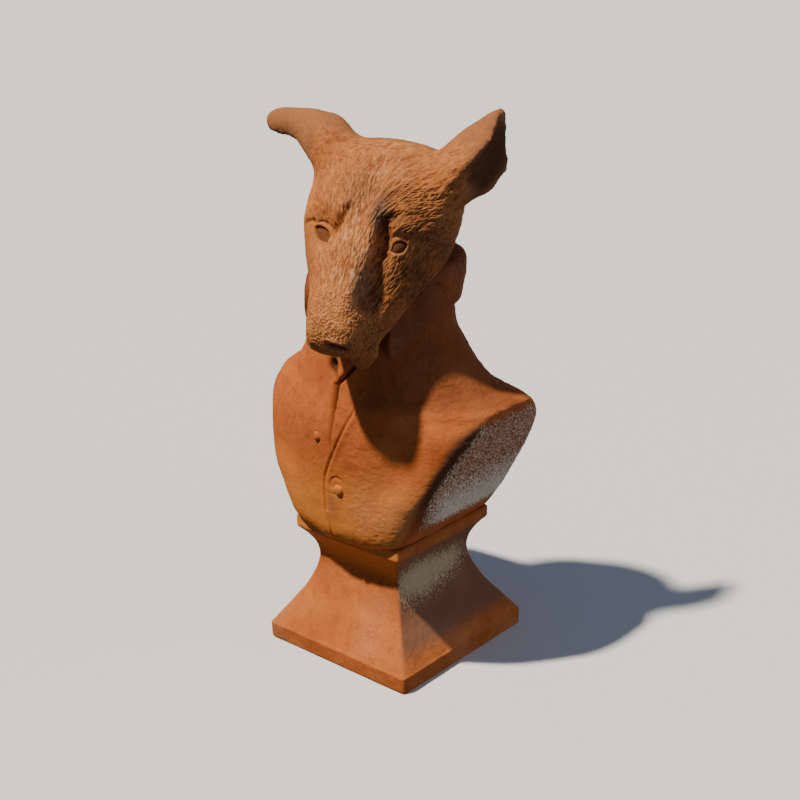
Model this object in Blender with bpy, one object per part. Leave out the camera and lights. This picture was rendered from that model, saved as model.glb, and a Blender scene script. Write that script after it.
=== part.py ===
# Cast iron garden bust of a dog in a buttoned coat, on a square waisted socle, all one casting.
# Metres, +Z up. The origin is at the middle of the socle's underside, and the coat faces -Y.
# Each form is lofted from a short outline, and all of them are united into one closed solid.

import math

import bpy
import numpy as np

# Socle, from the ground up
PLATE_WIDTH = 0.140
PLATE_HEIGHT = 0.0135
PLATE_CORNER_RADIUS = 0.0030
PLATE_EDGE_RADIUS = 0.0014
BATTER_HEIGHT = 0.0287
BATTER_TOP_WIDTH = 0.1006
WAIST_WIDTH = 0.0816
WAIST_HEIGHT = 0.0705
CORNICE_WIDTH = 0.1056
CORNICE_HEIGHT = 0.0100
CORNICE_EDGE = 0.0010
SOCLE_HEIGHT = 0.1045
SOCLE_CORNER_RADIUS = 0.0022

# Figure. Its forms are shares of its height: one share is 1 mm when it is 305 mm tall.
FIGURE_HEIGHT = 0.305
SHARE = FIGURE_HEIGHT / 305.0
UPPER_BUTTON_DIAMETER = 0.0065
LOWER_BUTTON_DIAMETER = 0.0080
BUTTON_PROUD = 0.0016

# Pose of the head: it turns to the figure's left, hangs its muzzle and tips to one side
HEAD_YAW = math.radians(13.0)
HEAD_PITCH = math.radians(46.0)
HEAD_ROLL = math.radians(7.0)
NOSE_TIP = (32.0, -94.0, 159.0)

# Mesh fineness
CORNER_STEPS = 3
COAT_COLUMNS = 60
HEAD_COLUMNS = 44
EAR_COLUMNS = 18


def smooth_curve(knots, values, at):
    """Monotone cubic curve through a few knots, which never overshoots them."""
    x = np.asarray(knots, float)
    y = np.asarray(values, float)
    at = np.asarray(at, float)
    step = np.diff(x)
    slope = np.diff(y) / step
    tangent = np.zeros(len(x))
    tangent[0] = slope[0]
    tangent[-1] = slope[-1]
    for i in range(1, len(x) - 1):
        if slope[i - 1] * slope[i] > 0:
            before = 2 * step[i] + step[i - 1]
            after = step[i] + 2 * step[i - 1]
            tangent[i] = (before + after) / (before / slope[i - 1] + after / slope[i])
    k = np.clip(np.searchsorted(x, at) - 1, 0, len(x) - 2)
    s = np.clip((at - x[k]) / step[k], 0.0, 1.0)
    rise = 3 * s ** 2 - 2 * s ** 3
    lead = (s ** 3 - 2 * s ** 2 + s) * step[k] * tangent[k]
    trail = (s ** 3 - s ** 2) * step[k] * tangent[k + 1]
    return y[k] * (1 - rise) + y[k + 1] * rise + lead + trail


def columns_of(table, at):
    """Each column of a table of knots, read at the given values of its first column."""
    table = np.asarray(table, float)
    return [smooth_curve(table[:, 0], column, at) for column in table[:, 1:].T]


def superellipse(turn, power):
    """Points in these directions on |x|^power + |y|^power = 1: round at 2, boxy above it."""
    reach = (np.abs(np.cos(turn)) ** power + np.abs(np.sin(turn)) ** power) ** (-1 / power)
    return reach * np.cos(turn), reach * np.sin(turn)


def bump(distance, reach):
    """Soft bell of height 1 at distance 0, which has died away at twice the reach."""
    return np.exp(-0.5 * (distance / (0.6 * reach)) ** 2)


def evenly_along(ring, count):
    """A closed ring of points, resampled at even distances around it."""
    closed = np.concatenate([ring, ring[:1]])
    walked = np.concatenate([[0.0], np.cumsum(np.linalg.norm(np.diff(closed, axis=0), axis=1))])
    at = np.arange(count) / count * walked[-1]
    return np.stack([np.interp(at, walked, closed[:, k]) for k in range(closed.shape[1])], -1)


def loft(name, rings):
    """Closed solid through rings of equal length, with a fan of triangles over each end."""
    rows, count, _ = rings.shape
    core = rings - rings.mean((0, 1))
    advance = np.gradient(core, axis=0)
    around = np.roll(core, -1, axis=1) - core
    if np.sum(core * np.cross(around, advance)) < 0:
        rings = rings[:, ::-1]
    vertices = np.concatenate([rings.reshape(-1, 3), rings[:1].mean(1), rings[-1:].mean(1)])
    foot = rows * count
    faces = []
    for i in range(rows - 1):
        for j in range(count):
            k = (j + 1) % count
            faces.append((i * count + j, i * count + k, (i + 1) * count + k, (i + 1) * count + j))
    for j in range(count):
        k = (j + 1) % count
        faces.append((foot, k, j))
        faces.append((foot + 1, (rows - 1) * count + j, (rows - 1) * count + k))
    mesh = bpy.data.meshes.new(name)
    mesh.from_pydata(vertices.tolist(), [], faces)
    mesh.shade_smooth()
    mesh.set_sharp_from_angle(angle=math.radians(40))
    form = bpy.data.objects.new(name, mesh)
    bpy.context.scene.collection.objects.link(form)
    return form


def on_socle(points):
    """Figure points from shares, over the top of the socle, to metres over the ground."""
    placed = np.asarray(points, float) * SHARE
    placed[..., 2] += SOCLE_HEIGHT
    return placed


# Socle

def square_ring(half, radius, z):
    """Square with rounded corners at height z."""
    points = []
    for corner in range(4):
        toward = math.radians(90.0 * corner - 45.0)
        cx = (half - radius) * math.copysign(1.0, math.cos(toward))
        cy = (half - radius) * math.copysign(1.0, math.sin(toward))
        for step in range(CORNER_STEPS + 1):
            turn = toward + math.radians(90.0 * step / CORNER_STEPS - 45.0)
            points.append((cx + radius * math.cos(turn), cy + radius * math.sin(turn), z))
    return points


def arc_to(start, bend, end, steps):
    """Points after the start of a curve that leaves it towards the bend and comes in from it."""
    points = []
    for step in range(1, steps + 1):
        s = step / steps
        points.append(tuple((1 - s) ** 2 * a + 2 * s * (1 - s) * b + s ** 2 * c
                            for a, b, c in zip(start, bend, end)))
    return points


def socle_profile():
    """Half width and height of the side: plate, batter, waist, cove and cornice."""
    half = PLATE_WIDTH / 2
    waist = (WAIST_WIDTH / 2, WAIST_HEIGHT)
    batter_foot = (half - PLATE_EDGE_RADIUS, PLATE_HEIGHT)
    batter_top = (BATTER_TOP_WIDTH / 2, PLATE_HEIGHT + BATTER_HEIGHT)
    cornice_foot = SOCLE_HEIGHT - CORNICE_HEIGHT
    cove_top = (CORNICE_WIDTH / 2 - CORNICE_EDGE / 2, cornice_foot)
    share_left = (batter_top[0] - waist[0]) / (batter_foot[0] - batter_top[0])
    turn_height = min(batter_top[1] + BATTER_HEIGHT * share_left, (batter_top[1] + WAIST_HEIGHT) / 2)
    profile = [(half - PLATE_EDGE_RADIUS / 3, 0.0), (half, PLATE_EDGE_RADIUS / 2)]
    profile += [(half, PLATE_HEIGHT - PLATE_EDGE_RADIUS), batter_foot]
    for step in range(1, 5):
        s = step / 4
        profile.append(tuple(a + (b - a) * s for a, b in zip(batter_foot, batter_top)))
    profile += arc_to(batter_top, (waist[0], turn_height), waist, 6)
    cove_turn = WAIST_HEIGHT + 0.54 * (cornice_foot - WAIST_HEIGHT)
    profile += arc_to(waist, (waist[0], cove_turn), cove_top, 7)
    profile.append((CORNICE_WIDTH / 2, cornice_foot + CORNICE_EDGE))
    profile.append((CORNICE_WIDTH / 2, SOCLE_HEIGHT - CORNICE_EDGE))
    profile.append((CORNICE_WIDTH / 2 - CORNICE_EDGE, SOCLE_HEIGHT))
    return profile


def make_socle():
    rings = []
    for half, z in socle_profile():
        radius = PLATE_CORNER_RADIUS if z <= PLATE_HEIGHT else SOCLE_CORNER_RADIUS
        rings.append(square_ring(half, radius, z))
    return loft("dog_bust", np.array(rings))


# Coat, from its hem to the neck, in shares. Each row: place along the loft, height over the
# socle, half width, y of the front and back corners, y of the chest and back at the middle,
# and the power of the section, from a box at the hem to a round neck. The flat slanted sides
# are where the arms are cut off.
COAT_ROWS = (
    (0.0, -0.8, 49.0, -48.5, 50.0, -52.0, 53.0, 10.0),
    (0.5, 0.4, 51.6, -50.6, 52.2, -54.5, 56.0, 10.0),
    (1.0, 3.0, 55.5, -53.0, 54.5, -57.0, 58.5, 10.0),
    (2.0, 12.0, 61.0, -55.0, 59.0, -62.5, 63.0, 10.0),
    (4.0, 35.5, 73.0, -53.5, 64.5, -65.5, 69.0, 12.0),
    (6.0, 60.5, 85.0, -44.5, 67.0, -66.0, 72.0, 14.0),
    (7.5, 78.0, 93.5, -35.0, 64.0, -65.5, 69.0, 14.0),
    (8.7, 92.0, 100.0, -25.0, 57.0, -64.0, 65.0, 11.0),
    (9.5, 101.0, 101.5, -16.0, 49.0, -62.0, 62.0, 7.5),
    (10.3, 106.5, 97.0, -15.0, 39.0, -60.5, 60.0, 4.8),
    (11.0, 112.0, 88.5, -17.0, 34.0, -59.0, 57.0, 3.6),
    (12.0, 123.5, 77.0, -25.0, 34.0, -56.5, 54.0, 2.8),
    (13.0, 138.0, 66.0, -34.0, 37.0, -53.5, 51.0, 2.4),
    (14.5, 155.0, 55.5, -39.0, 42.0, -50.0, 49.0, 2.0),
    (16.0, 178.0, 52.0, -41.0, 45.0, -47.0, 48.0, 2.0),
)
ARM_HOLLOW = 2.0
HEM_SPAN = 105.6
HEM_SAG = 5.0
HEM_REACH = 40.0


def coat_depth(across, along, row):
    """y of the coat's surface, for a place on the section's superellipse."""
    z, half, front, back, chest, spine, power = row
    bow = 1 - across ** 2
    hollow = ARM_HOLLOW * bump(np.abs(across) - 0.62, 0.2) * np.clip((z - 20) / 40, 0, 1)
    hollow = hollow * np.clip((118 - z) / 12, 0, 1)
    level = (front + back) / 2 + (back - front) / 2 * along
    fore = np.clip(-along, 0, 1)
    aft = np.clip(along, 0, 1)
    return level + fore * (bow * (chest - front) + hollow) + aft * bow * (spine - back)


def make_coat():
    """The coat's rings. Its hem takes the cornice's width and sags at the front."""
    places = np.concatenate([np.linspace(0, 1, 3), np.linspace(2, 9, 12), np.linspace(9.5, 16, 13)])
    turn = np.linspace(0, 2 * np.pi, 721)[:-1] - np.pi / 2
    rings = []
    for row in zip(*columns_of(COAT_ROWS, places)):
        across, along = superellipse(turn, row[6])
        y = coat_depth(across, along, row)
        sag = HEM_SAG * (1 - across ** 2) * (y < 0) * np.clip(1 - row[0] / HEM_REACH, 0, 1)
        ring = np.stack([row[1] * across, y, row[0] - sag], -1)
        rings.append(evenly_along(ring, COAT_COLUMNS))
    rings = np.array(rings)
    fit = np.clip(1 - rings[..., 2:] / HEM_REACH, 0, 1) ** 2
    placed = on_socle(rings)
    placed[..., :2] *= 1 + (CORNICE_WIDTH / (HEM_SPAN * SHARE) - 1) * fit
    return loft("coat", placed)


def chest_face(across, height):
    """y of the coat's front at a place across and a height over the socle, in shares."""
    places = np.linspace(0, 16, 321)
    table = columns_of(COAT_ROWS, places)
    row = [np.interp(height, table[0], column) for column in table]
    share = np.clip(np.asarray(across, float) / row[1], -1, 1)
    along = -(1 - np.abs(share) ** row[6]) ** (1 / row[6])
    return coat_depth(share, along, row)


# Front of the coat, in shares: the edge of the lapped panel, by height and place across, and
# the straight edge of the other panel, with the neck opening between them
LAP_EDGE = ((-12.0, -3.0), (10.0, -4.0), (22.0, -6.5), (36.0, -6.5), (48.0, -5.0), (60.0, -0.5),
            (74.0, 6.5), (86.0, 12.5), (105.0, 22.0), (118.0, 31.0), (140.0, 38.0))
LAP_GROOVE_WIDTH = 1.8
LAP_GROOVE_DEPTH = 1.5
OPENING_EDGE = 3.0
OPENING_FOOT = 60.0
OPENING_DEPTH = 3.2
OPENING_SLOPE = 0.12


def lap_edge(height):
    return float(smooth_curve(*zip(*LAP_EDGE), height))


def chest_cutter(name, heights, columns, depths):
    """Cutter along the chest: its floor is sunk by the depths, in columns across."""
    rings = []
    for height in heights:
        across = np.array([column(height) for column in columns])
        floor = chest_face(across, height) + np.array([depth(height) for depth in depths])
        outside = np.full(len(across), float(chest_face(0.0, height)) - 8.0)
        near = np.stack([across, floor], -1)
        far = np.stack([across, outside], -1)[::-1]
        section = np.concatenate([near, far])
        rings.append(np.concatenate([section, np.full((len(section), 1), height)], 1))
    return loft(name, on_socle(np.array(rings)))


def make_lap_groove():
    """The line that the lapped panel's edge draws down the coat, a narrow V."""
    half = LAP_GROOVE_WIDTH / 2
    columns = (lambda z: lap_edge(z) - half, lap_edge, lambda z: lap_edge(z) + half)
    depths = (lambda z: -0.5, lambda z: LAP_GROOVE_DEPTH, lambda z: -0.5)
    return chest_cutter("lap_groove", np.linspace(-12.0, 112.0, 24), columns, depths)


def make_opening():
    """The neck opening, deep along its straight edge and shallow at the lapel."""
    columns = (lambda z: OPENING_EDGE - 0.4, lambda z: max(lap_edge(z), OPENING_EDGE + 0.4))
    depths = (lambda z: min(OPENING_DEPTH, 0.4 + (z - OPENING_FOOT) * OPENING_SLOPE), lambda z: 0.6)
    return chest_cutter("neck_opening", np.linspace(OPENING_FOOT, 136.0, 9), columns, depths)


# Buttons: place across and height, in shares, and diameter
BUTTONS = (
    (-11.5, 78.5, UPPER_BUTTON_DIAMETER),
    (8.0, 41.0, LOWER_BUTTON_DIAMETER),
)


def make_button(across, height, diameter):
    """Low dome on the coat's face."""
    bpy.ops.mesh.primitive_uv_sphere_add(segments=12, ring_count=8, radius=diameter / 2)
    button = bpy.context.object
    button.name = "button"
    button.location = on_socle((across, float(chest_face(across, height)), height)).tolist()
    for corner in button.data.vertices:
        corner.co.y *= BUTTON_PROUD / (diameter / 2)
    return button


# Turned-down collar, from under its lower edge to its top: share of the way up the leaf, and
# radius in shares
COLLAR_ROWS = (
    (-0.06, 42.0),
    (-0.04, 52.0),
    (0.02, 55.5),
    (0.30, 57.5),
    (0.60, 59.5),
    (0.82, 59.5),
    (0.95, 56.5),
    (1.00, 50.0),
)
# Its lower and upper edges over the socle, by the angle round from the front
COLLAR_EDGES = (
    (0.0, 104.0, 168.0),
    (38.0, 106.0, 172.0),
    (43.0, 114.0, 176.0),
    (48.0, 132.0, 180.0),
    (54.0, 146.0, 184.0),
    (62.0, 151.0, 190.0),
    (75.0, 163.0, 198.0),
    (95.0, 170.0, 204.0),
    (180.0, 171.0, 206.0),
)
COLLAR_FRONT_ANGLE = 42.0
COLLAR_HIDDEN_RADIUS = 43.0
COLLAR_FLATTENING = 0.04
COLLAR_TAPER = 16.0


def make_collar():
    """The collar's leaf, all round but for its open front, where it sinks into the neck."""
    shares, radii = np.array(COLLAR_ROWS).T
    turn = np.concatenate([np.linspace(-36, 36, 5), np.linspace(40, 60, 6),
                           np.linspace(67, 293, 22), np.linspace(300, 320, 6)])
    from_front = np.abs((turn + 180) % 360 - 180)
    low, high = columns_of(COLLAR_EDGES, from_front)
    opened = np.clip((COLLAR_FRONT_ANGLE + COLLAR_TAPER - from_front) / COLLAR_TAPER, 0, 1)
    hidden = np.minimum(radii, COLLAR_HIDDEN_RADIUS)
    radius = radii[:, None] * (1 - opened) + hidden[:, None] * opened
    flat = 1 - COLLAR_FLATTENING * np.cos(np.radians(turn)) ** 2
    x = radius * np.sin(np.radians(turn))
    y = 1.0 - radius * np.cos(np.radians(turn)) * flat
    z = low + (high - low) * shares[:, None]
    return loft("collar", on_socle(np.stack([x, y, z], -1)))


# Head, along its own axis from the nose back, in shares: place, half width, crest and keel of
# the section over the axis, height of its widest line, and the power of the section
HEAD_ROWS = (
    (0.0, 6.0, 1.0, -5.0, -2.0, 2.0),
    (1.5, 13.0, 6.0, -8.0, -3.0, 2.3),
    (5.0, 17.5, 11.0, -14.0, -6.0, 2.6),
    (12.0, 20.5, 16.0, -23.0, -10.0, 2.7),
    (28.0, 25.5, 20.5, -37.0, -13.0, 2.6),
    (50.0, 34.0, 23.0, -45.0, -14.0, 2.5),
    (72.0, 44.0, 26.0, -51.0, -12.0, 2.5),
    (95.0, 52.0, 28.5, -55.0, -8.0, 2.4),
    (118.0, 54.0, 30.5, -56.0, -5.0, 2.4),
    (140.0, 52.0, 28.5, -55.0, -5.0, 2.4),
    (155.0, 46.5, 21.0, -51.0, -8.0, 2.3),
    (164.0, 36.0, 10.0, -44.0, -12.0, 2.2),
    (169.0, 15.0, -6.0, -32.0, -18.0, 2.0),
)
EYE = (79.0, 28.0, 12.0)
EYE_RADIUS = 8.0
NOSTRIL = (2.0, 7.7, 4.0)
NOSTRIL_RADIUS = 3.0
LIP_HEIGHT = -13.0
MOUTH_CORNER_PLACE = 31.0
MOUTH_CORNER_HEIGHT = -24.0
FLEW = (17.0, 13.5, -27.0)
FLEW_RADII = (13.0, 9.5, 12.0)


def pose_head(points):
    """World points of head points: place back from the nose, to the figure's left, and up."""
    points = np.asarray(points, float)
    forward = np.array([math.sin(HEAD_YAW) * math.cos(HEAD_PITCH),
                        -math.cos(HEAD_YAW) * math.cos(HEAD_PITCH), -math.sin(HEAD_PITCH)])
    level = np.array([math.cos(HEAD_YAW), math.sin(HEAD_YAW), 0.0])
    rise = np.cross(forward, level)
    left = level * math.cos(HEAD_ROLL) - rise * math.sin(HEAD_ROLL)
    up = rise * math.cos(HEAD_ROLL) + level * math.sin(HEAD_ROLL)
    return on_socle(points @ np.stack([-forward, left, up]) + np.array(NOSE_TIP))


def head_relief(place, left, up):
    """Push of the head's surface outward: brows, eye hollows, bridge, cheeks and mouth."""
    side = np.abs(left)
    over = np.clip((up + 6.0) / 10.0, 0, 1)
    hollow = -6.5 * bump(place - EYE[0], 12) * bump(side - EYE[1] + 5, 12)
    brow = 3.0 * bump(place - EYE[0] - 17, 10) * bump(side - EYE[1], 16)
    stop = -1.5 * bump(place - EYE[0] - 16, 14) * bump(side, 7)
    cheek = -2.5 * bump(place - EYE[0] + 24, 20) * bump(side - 25, 9)
    lip = LIP_HEIGHT + (MOUTH_CORNER_HEIGHT - LIP_HEIGHT) * place / MOUTH_CORNER_PLACE
    mouth = -4.0 * bump(up - lip, 4.0) * np.clip((MOUTH_CORNER_PLACE + 4 - place) / 6, 0, 1)
    return over * (hollow + brow + stop + cheek) + mouth


def make_head():
    places = np.concatenate([[0.0, 1.5, 5.0, 10.0], np.linspace(17, 150, 25),
                             [155.0, 160.0, 164.0, 167.5, 169.0]])
    turn = np.linspace(0, 2 * np.pi, 361)[:-1]
    rings = []
    for place, half, crest, keel, widest, power in zip(places, *columns_of(HEAD_ROWS, places)):
        across, rise = superellipse(turn, power)
        up = widest + np.where(rise > 0, crest - widest, widest - keel) * rise
        section = evenly_along(np.stack([half * across, up], -1), HEAD_COLUMNS)
        outward = section - np.array([0.0, widest])
        outward /= np.linalg.norm(outward, axis=1, keepdims=True)
        section += outward * head_relief(place, section[:, 0], section[:, 1])[:, None]
        rings.append(np.concatenate([np.full((HEAD_COLUMNS, 1), place), section], 1))
    return loft("head", pose_head(np.array(rings)))


def make_ball(name, middle, radii, segments):
    """Ball in the head, or an ellipsoid along the head's own directions."""
    turn = np.linspace(0, 2 * np.pi, segments + 1)[:-1]
    rings = []
    for lean in np.linspace(-np.pi / 2, np.pi / 2, segments // 2 + 1)[1:-1]:
        ring = np.stack([np.full(segments, math.sin(lean)), math.cos(lean) * np.cos(turn),
                         math.cos(lean) * np.sin(turn)], -1)
        rings.append(ring * np.array(radii) + np.array(middle))
    return loft(name, pose_head(np.array(rings)))


# Ears, each a rolled leaf, in shares. Each row: place along the ear, middle across, half width,
# half depth and lift of the section, and how far its open side is hollowed. The left one stands
# up and opens outward, and the right one lies out sideways and opens down.
LEFT_EAR_ROWS = (
    (-16.0, 2.0, 17.0, 12.0, -8.0, 0.0),
    (-4.0, 7.0, 23.0, 14.0, -2.0, 0.1),
    (10.0, 10.5, 29.0, 15.0, 1.0, 0.8),
    (32.0, 11.5, 25.5, 15.0, 2.0, 1.0),
    (47.0, 7.0, 15.0, 11.5, 3.0, 0.9),
    (57.0, 2.8, 9.0, 7.5, 3.0, 0.6),
    (64.0, 1.0, 3.6, 3.5, 3.0, 0.0),
)
RIGHT_EAR_ROWS = (
    (-16.0, 0.0, 18.0, 12.0, -8.0, 0.0),
    (0.0, 2.0, 22.5, 13.0, -2.0, 0.0),
    (17.0, 6.5, 21.5, 12.0, 2.0, 0.5),
    (38.0, 8.5, 14.5, 10.0, 3.0, 0.8),
    (48.0, 4.5, 13.5, 9.5, 3.0, 0.7),
    (56.0, 2.0, 12.3, 9.0, 3.0, 0.4),
    (63.0, 0.5, 9.3, 7.0, 3.0, 0.0),
    (68.0, 0.0, 3.0, 3.0, 3.0, 0.0),
)
LEFT_EAR_ROOT = (137.0, 46.0, 13.0)
LEFT_EAR_LEAN = 22.2
LEFT_EAR_LIPS = (-48.0, 74.0)
RIGHT_EAR_ROOT = (139.5, -38.3, 13.0)
RIGHT_EAR_LEAN = -68.2
RIGHT_EAR_LIPS = (-170.0, -95.0)
EAR_WALL = 5.5


def ear_section(half, depth, hollow, lips):
    """Ellipse whose open side, between two lips at these angles, is sunk to a wall's thickness."""
    outer_count = EAR_COLUMNS * 2 // 3
    around = np.radians(np.linspace(lips[0], lips[1] - 360.0, outer_count))
    outer = np.stack([half * np.cos(around), depth * np.sin(around)], -1)
    way = np.linspace(0, 1, EAR_COLUMNS - outer_count + 2)[1:-1, None]
    chord = outer[-1] + (outer[0] - outer[-1]) * way
    facing = math.radians(sum(lips) / 2)
    floor = np.array([-(half - EAR_WALL) * 0.55 * math.cos(facing),
                      -(depth - EAR_WALL) * math.sin(facing)])
    sunk = chord + (floor - chord) * 0.8 * hollow * np.sin(np.pi * way) ** 0.5
    return np.concatenate([outer, sunk])


def make_ear(name, rows, root, lean, lips):
    """Sections along the ear, which leans by an angle from the head's own axis."""
    tip = rows[-1][0]
    places = np.concatenate([[rows[0][0], rows[0][0] / 2], np.linspace(0, tip - 8, 9), [tip - 4, tip]])
    lean = math.radians(lean)
    rings = []
    for along, middle, half, depth, lift, hollow in zip(places, *columns_of(rows, places)):
        section = ear_section(half, depth, hollow, lips)
        across = section[:, 0] + middle
        place = root[0] + along * math.cos(lean) - across * math.sin(lean)
        left = root[1] + along * math.sin(lean) + across * math.cos(lean)
        rings.append(np.stack([place, left, root[2] + lift + section[:, 1]], -1))
    return loft(name, pose_head(np.array(rings)))


# Casting

def join_form(bust, form, operation):
    """Unites a form with the bust, or cuts it out, and keeps it as a guide."""
    form.hide_render = True
    form.display_type = "WIRE"
    step = bust.modifiers.new(form.name, "BOOLEAN")
    step.operation = operation
    step.solver = "EXACT"
    step.object = form


def make_iron():
    """Cast iron under an even coat of orange-brown rust, which is dull and not metallic."""
    iron = bpy.data.materials.new("rusted cast iron")
    iron.use_nodes = True
    shader = iron.node_tree.nodes["Principled BSDF"]
    shader.inputs["Base Color"].default_value = (0.42, 0.15, 0.05, 1.0)
    shader.inputs["Roughness"].default_value = 0.85
    shader.inputs["Metallic"].default_value = 0.0
    return iron


def main():
    for old in list(bpy.data.objects):
        bpy.data.objects.remove(old, do_unlink=True)
    bust = make_socle()
    join_form(bust, make_coat(), "UNION")
    for button in BUTTONS:
        join_form(bust, make_button(*button), "UNION")
    join_form(bust, make_opening(), "DIFFERENCE")
    join_form(bust, make_lap_groove(), "DIFFERENCE")
    join_form(bust, make_collar(), "UNION")
    join_form(bust, make_head(), "UNION")
    left_ear = (LEFT_EAR_ROWS, LEFT_EAR_ROOT, LEFT_EAR_LEAN, LEFT_EAR_LIPS)
    right_ear = (RIGHT_EAR_ROWS, RIGHT_EAR_ROOT, RIGHT_EAR_LEAN, RIGHT_EAR_LIPS)
    join_form(bust, make_ear("left_ear", *left_ear), "UNION")
    join_form(bust, make_ear("right_ear", *right_ear), "UNION")
    for side in (1, -1):
        flip = np.array([1, side, 1])
        join_form(bust, make_ball("flew", FLEW * flip, FLEW_RADII, 16), "UNION")
        join_form(bust, make_ball("eye", EYE * flip, (EYE_RADIUS,) * 3, 12), "UNION")
    for side in (1, -1):
        flip = np.array([1, side, 1])
        join_form(bust, make_ball("nostril", NOSTRIL * flip, (NOSTRIL_RADIUS,) * 3, 10), "DIFFERENCE")
    bust.data.materials.append(make_iron())


main()
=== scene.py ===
# A rusty cast iron garden bust of a dog in a buttoned coat, on a square waisted socle. It is
# one casting, shown here as four shells that meet at its own creases: the socle, the coat, the
# coat's collar, and the head with its ears.

import math

import bmesh
import bpy
import numpy as np
from mathutils import Matrix, Vector


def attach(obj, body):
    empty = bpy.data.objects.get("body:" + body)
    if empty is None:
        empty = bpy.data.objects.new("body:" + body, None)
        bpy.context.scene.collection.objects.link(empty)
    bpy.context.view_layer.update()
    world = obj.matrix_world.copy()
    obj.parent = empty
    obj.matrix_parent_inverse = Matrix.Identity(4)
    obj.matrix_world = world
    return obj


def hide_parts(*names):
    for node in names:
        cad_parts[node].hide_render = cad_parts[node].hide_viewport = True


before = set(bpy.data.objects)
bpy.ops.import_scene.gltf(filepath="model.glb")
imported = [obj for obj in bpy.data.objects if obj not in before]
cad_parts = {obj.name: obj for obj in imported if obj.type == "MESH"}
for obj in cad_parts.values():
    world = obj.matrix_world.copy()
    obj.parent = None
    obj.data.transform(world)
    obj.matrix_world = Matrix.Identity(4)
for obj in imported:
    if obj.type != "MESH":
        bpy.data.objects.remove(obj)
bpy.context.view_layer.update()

# Socle
# The square foot of the bust: a plate, a battered side that sweeps in to a waist, and a cove
# out to the cornice. It was cast in sand with the bust, so its edges are soft and its sides
# are a little uneven, and the weather has rusted it all over.

PLATE_HALF = 0.0700
PLATE_TOP = 0.0135
BATTER_TOP = (0.0503, 0.0422)
WAIST = (0.0408, 0.0705)
COVE_TOP = (0.0523, 0.0945)
CORNICE_HALF = 0.0528
SOCLE_TOP = 0.1045
CORNER_POWER = 46.0


def rough(points, size, seed=0):
    """Smooth random heights from -1 to 1 that change over the given size: a number is drawn at
    each corner of a lattice of that size, and blended across each cell by a smooth step."""
    place = np.asarray(points, float) / size + 31.7 * (seed + 1)
    cell = np.floor(place).astype(np.int64)
    part = place - cell
    part = part * part * (3 - 2 * part)
    total = np.zeros(place.shape[:-1])
    for corner in range(8):
        step = np.array([corner & 1, corner >> 1 & 1, corner >> 2])
        draw = (cell + step) @ np.array([374761393, 668265263, 974634777]) & 0xffffffff
        draw = (draw ^ (draw >> 15)) * 2246822519 & 0xffffffff
        draw = (draw ^ (draw >> 13)) * 3266489917 & 0xffffffff
        share = np.prod(np.where(step, part, 1 - part), axis=-1)
        total += share * (((draw ^ (draw >> 16)) & 0xffff) / 32767.5 - 1)
    return total


def grain(points):
    """Heights of a sand-cast skin in metres: slow waves of a hand's mould, dimples and grit."""
    waves = 0.00035 * rough(points, 0.028, 1) + 0.00018 * rough(points, 0.009, 2)
    return waves + 0.00012 * rough(points, 0.0036, 3) + 0.00009 * rough(points, 0.0015, 4)


def bell(distance, reach):
    """Soft hill of height 1 at distance 0, which has died away at twice its reach."""
    return np.exp(-0.5 * (distance / (0.6 * reach)) ** 2)


def ramp(value, low, high):
    """Smooth step from 0 at low to 1 at high."""
    share = np.clip((value - low) / (high - low), 0, 1)
    return share * share * (3 - 2 * share)


def grid_normals(grid):
    """Outward normals of a closed tube of points: the direction round the rings times the one
    along them, turned about where the tube is wound the other way."""
    around = np.roll(grid, -1, 1) - np.roll(grid, 1, 1)
    along = np.gradient(grid, axis=0)
    normal = np.cross(around, along)
    normal *= np.sign(np.sum(normal * (grid - grid.mean((0, 1)))))
    return normal / np.maximum(np.linalg.norm(normal, axis=-1, keepdims=True), 1e-12)


def tube_mesh(name, grid):
    """Closed mesh from rings of points: quads between the rings and a fan over each end."""
    rows, count, _ = grid.shape
    foot = rows * count
    outward = np.cross(np.roll(grid, -1, 1) - grid, np.gradient(grid, axis=0))
    if np.sum(outward * (grid - grid.mean((0, 1)))) < 0:
        grid = grid[:, ::-1]
    vertices = np.concatenate([grid.reshape(-1, 3), grid[:1].mean(1), grid[-1:].mean(1)])
    row, column = np.meshgrid(np.arange(rows - 1), np.arange(count), indexing="ij")
    beside = (column + 1) % count
    quads = np.stack([row * count + column, row * count + beside,
                      (row + 1) * count + beside, (row + 1) * count + column], -1).reshape(-1, 4)
    ring = np.arange(count)
    after = (ring + 1) % count
    first = np.stack([np.full(count, foot), after, ring], -1)
    last = (rows - 1) * count
    final = np.stack([np.full(count, foot + 1), last + ring, last + after], -1)
    mesh = bpy.data.meshes.new(name)
    mesh.from_pydata(vertices, [], quads.tolist() + first.tolist() + final.tolist())
    mesh.shade_smooth()
    piece = bpy.data.objects.new(name, mesh)
    bpy.context.scene.collection.objects.link(piece)
    return piece


def keep_field(piece, name, values):
    """Stores one number for each point of a piece, which its material reads by this name."""
    field = piece.data.attributes.new(name, "FLOAT", "POINT")
    field.data.foreach_set("value", np.asarray(values, np.float32))


def linear(code):
    """Linear colour of an sRGB hex code: each channel's share, through the sRGB curve."""
    shares = [int(code[k:k + 2], 16) / 255 for k in (1, 3, 5)]
    return tuple(s / 12.92 if s <= 0.04045 else ((s + 0.055) / 1.055) ** 2.4 for s in shares) + (1.0,)


def add_node(tree, kind, settings=None, **links):
    """Adds a node, with its settings as {name or socket: value} and its links by socket name."""
    node = tree.nodes.new(kind)
    for name, value in (settings or {}).items():
        if isinstance(name, str) and hasattr(node, name):
            setattr(node, name, value)
        else:
            node.inputs[name].default_value = value
    for name, source in links.items():
        socket = int(name[1:]) if name[0] == "_" else name.replace("_", " ")
        tree.links.new(source, node.inputs[socket])
    return node


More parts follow.
